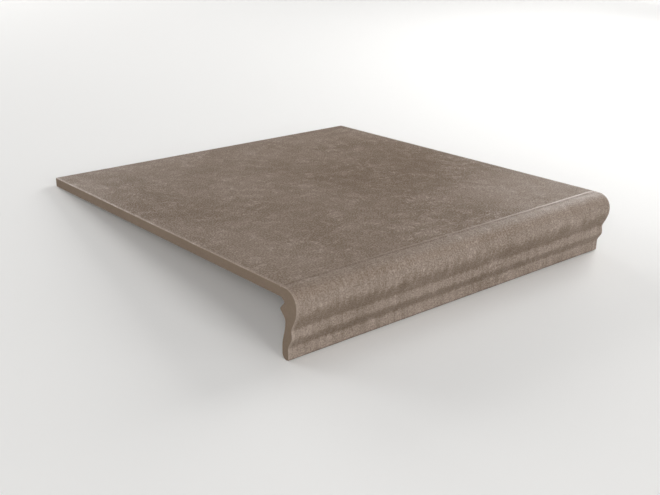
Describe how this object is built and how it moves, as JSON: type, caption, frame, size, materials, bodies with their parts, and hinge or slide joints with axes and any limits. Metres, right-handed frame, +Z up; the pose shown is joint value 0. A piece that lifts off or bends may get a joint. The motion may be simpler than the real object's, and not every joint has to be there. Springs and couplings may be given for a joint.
{
  "type": "stair tread tile",
  "caption": "Stair tread tile with a rounded, moulded nosing and a hanging skirt, bedded in mortar over the edge of a step to make its walking surface and front lip.",
  "frame": {"origin": "centre of the bounding box in X and Y, on the floor the tile rests on", "axes": "+X along the nosing, +Y from the nosing to the back edge, +Z up; the tile lies unheld as it comes to rest, on the toe of its skirt and the lower edge of its back, so its tread falls 7.4 degrees towards +Y"},
  "size_m": [0.33, 0.3438, 0.0507],
  "materials": {
    "stoneware": "matt taupe fired surface"
  },
  "bodies": {
    "root": {"tread_tile": "stoneware"}
  },
  "joints": []
}
